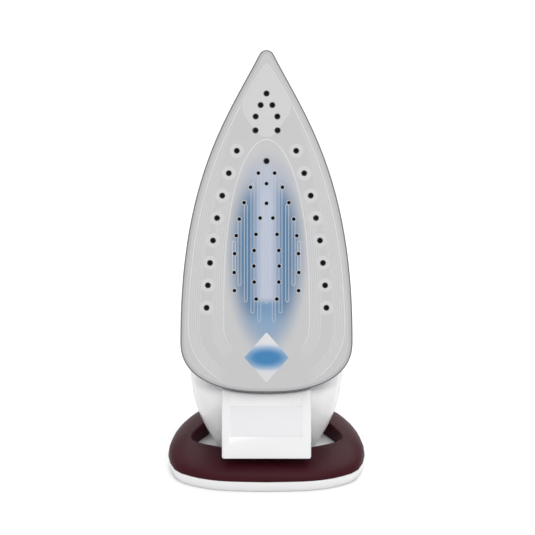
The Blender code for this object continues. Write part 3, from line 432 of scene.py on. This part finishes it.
def sole_holes():
    """(across, along, radius) of every steam hole, on both sides."""
    holes = []
    for across, along in ((0, 0.2094), (0.0041, 0.2013), (0.0076, 0.1933), (0.0077, 0.1836)):
        holes.append((across, SOLE_REAR + along, OUTER_HOLE))
    for i in range(8):
        along = SOLE_REAR + 0.0594 + 0.0157 * i
        holes.append((sole_half(along) - 0.018, along, OUTER_HOLE))
    for i, along in enumerate(ARCH_ALONG):
        reach = abs((along - 0.0826) / 0.0795)
        holes.append((0.0226 * (1 - reach**2.6), SOLE_REAR + along, INNER_HOLE if i else OUTER_HOLE))
    for along in COLUMN_ALONG:
        reach = (along - 0.0886) / 0.0440
        holes.append((0 if reach > 0.9 else 0.0089 * (1 - abs(reach) ** 2.6), SOLE_REAR + along, INNER_HOLE))
    right = [(x if x > 0.001 else 0, z, radius) for x, z, radius in holes]
    return right + [(-x, z, radius) for x, z, radius in right if x]


HOLES = sole_holes()


def turned_mesh(bm, profile, matrix, steps, material=0, closed=False):
    """Turn a profile of (radius, height) about +Z of a matrix."""
    rows = []
    for radius, height in profile:
        rows.append([
            bm.verts.new(matrix @ Vector((radius * math.cos(a), radius * math.sin(a), height)))
            for a in (2 * math.pi * k / steps for k in range(steps))
        ])
    pairs = list(zip(rows, rows[1:]))
    if closed:
        pairs.append((rows[-1], rows[0]))
    for low, high in pairs:
        for i in range(steps):
            j = (i + 1) % steps
            bm.faces.new((low[i], low[j], high[j], high[i])).material_index = material
    return rows


def outward(across, along, depth=0.0):
    """A matrix whose +Z points out of the soleplate's face, along -Y of the leaned frame."""
    return Matrix.Translation((across, depth, along)) @ Matrix.Rotation(math.pi / 2, 4, "X")


def helper(name, mesh):
    obj = bpy.data.objects.new(name, mesh)
    bpy.context.scene.collection.objects.link(obj)
    return obj


def bores(extra_front=0.00035):
    """All the steam holes as one cutter, each with a small chamfer at the face."""
    bm = bmesh.new()
    for across, along, radius in sole_holes():
        profile = [(radius + extra_front + 0.001, 0.001), (radius, -extra_front), (radius, -0.0060)]
        rows = turned_mesh(bm, profile, outward(across, along), 20)
        bm.faces.new(rows[0])
        bm.faces.new(list(reversed(rows[-1])))
    return mesh_of("bores", bm)


def applied(obj, name):
    """The mesh of an object with its modifiers applied. The object is removed."""
    bpy.context.view_layer.update()
    graph = bpy.context.evaluated_depsgraph_get()
    mesh = bpy.data.meshes.new_from_object(obj.evaluated_get(graph))
    mesh.name = name
    bpy.data.objects.remove(obj, do_unlink=True)
    return mesh


def carved(name, mesh, *cutters, operation="DIFFERENCE"):
    """Cut meshes from a mesh."""
    obj = helper(name, mesh)
    tools = [helper(f"{name}_tool", cutter) for cutter in cutters]
    for tool in tools:
        step = obj.modifiers.new("Cut", "BOOLEAN")
        step.operation = operation
        step.solver = "EXACT"
        step.object = tool
    made = applied(obj, name)
    for tool in tools:
        bpy.data.objects.remove(tool, do_unlink=True)
    return made


def thin_plate(name, shape, low, high, bevel=0.0003):
    """A thin plate on the soleplate's face, with a chamfered edge."""
    bm = bmesh.new()
    rings = [[(x, low, z) for x, z in shape], [(x, low - (low - high) * 0.4, z) for x, z in shape],
             [(x, high, z) for x, z in inset_points(shape, bevel)]]
    skin(bm, rings)
    return mesh_of(name, bm)


def make_soleplate():
    shape = sole_outline()
    bm = bmesh.new()
    levels = (
        (0.0005, SOLE_THICK), (0.0, SOLE_THICK - 0.0005), (0.0, 0.0013), (0.0002, 0.0007), (0.0010, 0.0003),
        (0.0012, 0.00016), (0.0024, 0.00003), (0.0028, 0.0),
    )
    rings = [[(x, y, z) for x, z in inset_points(shape, inset)] for inset, y in levels]
    skin(bm, rings, material_at=[1, 1, 1, 1, 2, 2, 2])
    base = mesh_of("sole_base", bm)
    for key in ("sole", "sole_edge", "sole_band", "bore"):
        base.materials.append(MATERIALS[key])
    # The bores carry the near-black painted shade onto the hole walls.
    cutter = bores()
    for face in cutter.polygons:
        face.material_index = 0
    cutter.materials.append(MATERIALS["bore"])
    mesh = carved("sole_cut", base, cutter)
    keys = [slot.name for slot in mesh.materials if slot]
    chosen = [face.material_index for face in mesh.polygons]
    mesh.materials.clear()
    names = {MATERIALS[key].name: key for key in MATERIALS}
    piece("sole_face", mesh, [names[key] for key in keys], "iron", ["soleplate"], angle=30)
    mesh.polygons.foreach_set("material_index", chosen)
    halo = bmesh.new()
    for across, along, radius in sole_holes():
        if radius < OUTER_HOLE or abs(across) < 0.02:
            continue
        profile = [(0.0050, 0.00001), (0.0042, 0.00003), (0.0034, 0.00008), (radius + 0.0008, 0.00014),
                   (radius + 0.0004, 0.00010)]
        turned_mesh(halo, profile, outward(across, along), 28)
    piece("hole_halos", mesh_of("hole_halos", halo), "sole_halo", "iron")
    ring, rim = bmesh.new(), bmesh.new()
    for across, along, radius in sole_holes():
        small = radius < OUTER_HOLE
        wide = 0.00022 if small else 0.00060
        profile = [(radius + wide, 0.00002), (radius + wide * 0.7, 0.00013), (radius + 0.00004, 0.00009),
                   (radius + 0.00003, -0.0006)]
        turned_mesh(rim, profile, outward(across, along), 20)
        if small:
            edge = radius + wide
            pale = [(edge + 0.00042, 0.00001), (edge + 0.0002, 0.00011), (edge, 0.00003)]
            turned_mesh(ring, pale, outward(across, along), 20)
    piece("hole_rings", mesh_of("hole_rings", ring), "sole_line", "iron")
    piece("hole_rims", mesh_of("hole_rims", rim), "hole_rim", "iron")


def ridge(bm, path, half_width, height, closed=False, fade=None):
    """A low half-round ridge along a path of (across, along) on the soleplate's face."""
    section = ((-1.0, -0.00003), (-0.62, 0.72), (0.0, 1.0), (0.62, 0.72), (1.0, -0.00003))
    rows = []
    count = len(path)
    for i, (x, z) in enumerate(path):
        before = path[i - 1] if closed or i else path[0]
        after = path[(i + 1) % count] if closed or i < count - 1 else path[-1]
        way = Vector((after[0] - before[0], after[1] - before[1])).normalized()
        share = fade[i] if fade is not None else 1.0
        row = []
        for side, lift in section:
            reach = half_width * side * (0.35 + 0.65 * share)
            rise = height * share * max(lift, 0) - 0.00002
            row.append(bm.verts.new((x - way[1] * reach, -rise, z + way[0] * reach)))
        rows.append(row)
    pairs = list(zip(rows, rows[1:]))
    if closed:
        pairs.append((rows[-1], rows[0]))
    for low, high in pairs:
        middle = (low[2].co + high[2].co) / 2
        if any(math.hypot(middle.x - x, middle.z - z) < radius + 0.0004 for x, z, radius in HOLES):
            continue
        for i in range(len(section) - 1):
            bm.faces.new((low[i], low[i + 1], high[i + 1], high[i]))
    bmesh.ops.delete(bm, geom=[vert for vert in bm.verts if not vert.link_faces], context="VERTS")


LOWER_CENTRE = (0.004, 0.118)
RIM_LINES = ((0.0055, 0.2745), (0.0073, 0.268), (0.0089, 0.256), (0.0104, 0.246), (0.0119, 0.236), (0.0133, 0.226))


def arch_half(along):
    share = min(max((along - 0.130) / 0.1196, 0.0), 1.0)
    return 0.030 * (1 - share**2.4) ** 0.52


def tail(start_across, finish, steps=16):
    """The lower end of a contour line: it turns inwards round a common centre."""
    a = start_across - LOWER_CENTRE[0]
    b = a * 0.87
    points = []
    for i in range(1, steps + 1):
        turn = finish * i / steps
        points.append((LOWER_CENTRE[0] + a * math.cos(turn), LOWER_CENTRE[1] - b * math.sin(turn)))
    return points


def faded(path, head, foot):
    """How strong a line is at each of its points: it grows and fades over these lengths."""
    steps = [0.0]
    for a, b in zip(path, path[1:]):
        steps.append(steps[-1] + math.dist(a, b))
    total = steps[-1]
    strengths = []
    for run in steps:
        share = min(run / head if head else 1.0, (total - run) / foot if foot else 1.0, 1.0)
        strengths.append(0.5 - 0.5 * math.cos(math.pi * max(share, 0.0)))
    return strengths


def rim_line(inset, top):
    """A line that follows the soleplate's edge, from this height down to its lower turn."""
    path = []
    for along in np.linspace(top, LOWER_CENTRE[1], 60):
        lean = math.atan2(sole_half(along - 0.001) - sole_half(along + 0.001), 0.002)
        path.append((sole_half(along) - inset / math.cos(lean), along))
    return path + tail(path[-1][0], 1.12)


def arch_line(outside, top):
    path = []
    for along in np.linspace(top, LOWER_CENTRE[1], 70):
        path.append((arch_half(along) + outside, along))
    return path + tail(path[-1][0], 1.0)


def make_sole_lines():
    strong, faint = bmesh.new(), bmesh.new()
    for sign in (1, -1):
        for inset, top in RIM_LINES:
            path = rim_line(inset, top)
            bold = inset < 0.006
            ridge(strong if bold else faint, [(sign * x, z) for x, z in path],
                  0.00042 if bold else 0.00036, 0.00017 if bold else 0.00013,
                  fade=faded(path, 0.004 if bold else 0.03, 0.020))
        for outside in (0.0017, 0.0032, 0.0047, 0.0062, 0.0077):
            path = arch_line(outside, 0.226 - outside * 2)
            ridge(faint, [(sign * x, z) for x, z in path], 0.00036, 0.00013, fade=faded(path, 0.03, 0.020))
    half = [(arch_half(z), z) for z in 0.2496 - 0.1316 * (np.linspace(0, 1, 90) ** 1.8)]
    half += tail(half[-1][0], 1.0)
    whole = [(-x, z) for x, z in reversed(half[1:])] + half
    ridge(strong, whole, 0.00046, 0.00018, fade=faded(whole, 0.03, 0.03))
    for inset, apex in ((0.0055, 0.3028), (0.0078, 0.2990)):
        side = []
        for along in np.linspace(0.2745, apex, 26):
            lean = math.atan2(sole_half(along - 0.001) - sole_half(along + 0.001), 0.002)
            reach = max(sole_half(along) - inset / math.cos(lean), 0)
            share = (along - 0.2745) / (apex - 0.2745)
            side.append((reach * max(1 - share**5, 0) ** 0.5, along))
        whole = [(-x, z) for x, z in side] + [(x, z) for x, z in reversed(side[:-1])]
        ridge(strong if inset < 0.006 else faint, whole, 0.00040, 0.00015,
              fade=faded(whole, 0.002, 0.002))
    piece("sole_contours", mesh_of("sole_contours", strong), "sole_line", "iron")
    piece("sole_fine_contours", mesh_of("sole_fine_contours", faint), "sole_halo", "iron")


def stadium(across, low, high, half, steps=10):
    points = []
    for z in np.arange(low + half, high - half, 0.0004):
        points.append((across + half, float(z)))
    for i in range(steps + 1):
        turn = math.pi * i / steps
        points.append((across + half * math.cos(turn), high - half + half * math.sin(turn)))
    for z in np.arange(high - half, low + half, -0.0004):
        points.append((across - half, float(z)))
    for i in range(steps + 1):
        turn = math.pi + math.pi * i / steps
        points.append((across + half * math.cos(turn), low + half + half * math.sin(turn)))
    return points


CHANNELS = (
    (0.0, 0.1351, 0.2290), (0.00504, 0.1221, 0.2247), (0.0098, 0.1281, 0.2191), (0.0145, 0.1360, 0.2041),
    (0.0189, 0.1473, 0.1928), (0.0229, 0.1582, 0.1785),
)


def make_channels():
    bm = bmesh.new()
    for across, low, high in CHANNELS:
        for sign in ((1, -1) if across else (1,)):
            ridge(bm, stadium(sign * across, low, high, 0.00105), 0.00026, 0.00014, closed=True)
    piece("steam_channels", mesh_of("steam_channels", bm), "sole_line", "iron")


def make_badge():
    wide, tall, centre, corner = 0.0153, 0.0173, 0.0970, 0.0009
    shape = []
    for k in range(4):
        turn = math.pi / 2 * k
        tip = (wide * math.sin(turn), tall * math.cos(turn))
        for i in range(-3, 4):
            lean = turn + i * 0.16
            size = math.hypot(*tip)
            shape.append((tip[0] * (1 - corner / size) + corner * math.sin(lean),
                          centre + tip[1] * (1 - corner / size) + corner * math.cos(lean)))
    shape = list(reversed(shape))
    piece("sole_badge", thin_plate("sole_badge", shape, 0.00005, -0.00016), "badge", "iron")


def make_tip_shield():
    side = []
    for along in np.linspace(0.2735, 0.3020, 24):
        lean = math.atan2(sole_half(along - 0.001) - sole_half(along + 0.001), 0.002)
        share = (along - 0.2735) / 0.0285
        side.append((max(sole_half(along) - 0.0060 / math.cos(lean), 0) * max(1 - share**5, 0) ** 0.5, along))
    lower = [(0.0, 0.2510), (0.0030, 0.2516), (0.0064, 0.2539), (0.0112, 0.2603), (0.0161, 0.2668)]
    right = [tuple(p) for p in smooth_rows(lower, 4)] + side
    shape = right + [(-x, z) for x, z in reversed(right[1:-1])]
    mesh = carved("tip_cut", thin_plate("tip_plate", shape, 0.0003, -0.00007, 0.0002), bores())
    mesh.materials.clear()
    piece("sole_tip_shield", mesh, "sole_tip", "iron")


def make_hole_shadow_sheet():
    # A near-black sheet in the gap behind the soleplate: painted shade that keeps the steam holes dark instead of
    # showing the cast chamber.
    shape = inset_points(sole_outline(), 0.0080)
    rings = [[(x, y, z) for x, z in shape] for y in (SOLE_THICK + 0.00005, SOLE_THICK + 0.00025)]
    piece("hole_shadow_sheet", loft_mesh("hole_shadow_sheet", rings), "bore", "iron")


# ---------------------------------------------------------------- the carried-over nodes

LOOKS = {
    "steam_chamber": "cast", "chamber_cover": "steel", "heating_element": "steel", "thermostat": "brass",
    "thermal_fuse": "steel", "heat_skirt": "grey", "body_shell": "white", "water_tank": "clear",
    "handle_cover": "white", "handle_grip": "wine_grip", "spray_nozzle": "grey",
    "spray_pump_body": "white_inner", "boost_pump_body": "white_inner", "spray_suction_tube": "rubber",
    "boost_suction_tube": "rubber", "spray_button": "wine", "boost_button": "wine", "spray_plunger": "steel",
    "boost_plunger": "steel", "spray_spring": "steel", "boost_spring": "steel", "steam_slider": "wine",
    "valve_rod": "steel", "valve_body": "brass", "tank_gasket": "rubber", "temperature_dial": "white",
    "thermostat_shaft": "steel", "filler_door": "wine", "filler_hinge_pin": "steel",
    "scale_collector": "white", "collector_seal": "rubber", "cord_gland": "dark", "circuit_board": "board",
    "terminal_block": "white_inner", "indicator_lens": "amber", "indicator_lamp": "amber",
    "heel_plate": "white", "heel_collar": "wine",
}


def carry_over(skipped):
    for node in NODES:
        if node in skipped:
            continue
        key = LOOKS.get(node, "steel")
        refined(node, key)


def rounded_slab(half, low, high, radius, front, back, bevel, steps=8):
    """Rings of a rounded rectangle from its soft front edge to its back."""
    rings = []
    for k in range(5):
        turn = math.pi / 2 * k / 4
        inset = bevel * (1 - math.sin(turn))
        depth = front + bevel * (1 - math.cos(turn))
        ring = []
        for sx, sz, start in ((1, 1, 0), (-1, 1, 1), (-1, -1, 2), (1, -1, 3)):
            for i in range(steps + 1):
                a = math.pi / 2 * (start + i / steps)
                ring.append((sx * (half - radius) + (radius - inset) * math.cos(a), depth,
                             (high - radius if sz > 0 else low + radius) + (radius - inset) * math.sin(a)))
        rings.append(ring)
    rings.append([(x, back, z) for x, _, z in rings[-1]])
    return rings


def make_collector_face():
    """A soft-edged panel that nearly fills the collector's front recess."""
    front, back = COLLECTOR_FACE + 0.00012, COLLECTOR_FACE + 0.0007
    panel = rounded_slab(PANEL_HALF, PANEL_LOW, PANEL_HIGH, 0.0012, front, back, 0.0004)
    piece("collector_panel", loft_mesh("collector_panel", panel), "white_inner", "collector")


# ---------------------------------------------------------------- stage

def make_stage():
    floor = Paint("floor_white", (0.93, 0.93, 0.93), 0.6)
    floor.tint(floor.noise(3, 2) * 0.4, (0.92, 0.92, 0.925))
    bm = bmesh.new()
    width, depth, rise, radius = 6.0, 4.5, 5.0, 1.2
    rows = []
    for y, z in [(-6.0, 0.0), (depth - radius, 0.0)] + [
        (depth - radius + radius * math.sin(a), radius - radius * math.cos(a))
        for a in np.linspace(0.1, math.pi / 2, 14)
    ] + [(depth, rise)]:
        rows.append([bm.verts.new((x, y, z)) for x in (-width, width)])
    for low, high in zip(rows, rows[1:]):
        bm.faces.new((low[0], low[1], high[1], high[0]))
    mesh = mesh_of("backdrop", bm)
    mesh.shade_smooth()
    mesh.materials.append(floor.done())
    obj = helper("backdrop", mesh)


def area_light(name, spot, aim, size, power, colour=(1, 1, 1)):
    data = bpy.data.lights.new(name, "AREA")
    data.shape = "RECTANGLE"
    data.size, data.size_y = size
    data.energy = power
    data.color = colour
    obj = bpy.data.objects.new(name, data)
    bpy.context.scene.collection.objects.link(obj)
    obj.location = spot
    obj.rotation_mode = "QUATERNION"
    obj.rotation_quaternion = (Vector(aim) - Vector(spot)).to_track_quat("-Z", "Y")


def make_lights():
    world = bpy.data.worlds.new("studio")
    bpy.context.scene.world = world
    world.use_nodes = True
    world.node_tree.nodes["Background"].inputs[0].default_value = (1, 1, 1, 1)
    world.node_tree.nodes["Background"].inputs[1].default_value = 0.72
    area_light("key", (0.8, -1.3, 1.5), (0, 0, 0.12), (0.9, 0.9), 8)
    area_light("fill", (-1.2, -1.0, 0.9), (0, 0, 0.12), (1.0, 1.4), 2)
    area_light("back", (0.2, 1.2, 1.6), (0, 0, 0.12), (1.6, 1.0), 14)
    area_light("top", (0.0, -0.1, 1.9), (0, 0, 0), (1.6, 1.6), 12)


def make_camera():
    data = bpy.data.cameras.new("camera")
    data.sensor_width = 36
    distance, span = 1.8, 0.3745
    data.lens = 36 * distance / span
    obj = bpy.data.objects.new("camera", data)
    bpy.context.scene.collection.objects.link(obj)
    aim = LEANED @ Vector((0.0007, 0.0, 0.1600))
    back = LEANED.to_3x3() @ Vector((0, -1, 0))
    obj.location = aim + back * distance
    obj.rotation_mode = "QUATERNION"
    obj.rotation_quaternion = (-back).to_track_quat("-Z", "Y")
    data.clip_start, data.clip_end = 0.05, 50
    bpy.context.scene.camera = obj
    bpy.context.scene.view_settings.view_transform = "Standard"


make_camera()
make_lights()
make_stage()
make_soleplate()
make_sole_lines()
make_channels()
make_badge()
make_tip_shield()
make_hole_shadow_sheet()
make_collector_face()
carry_over({"soleplate"})
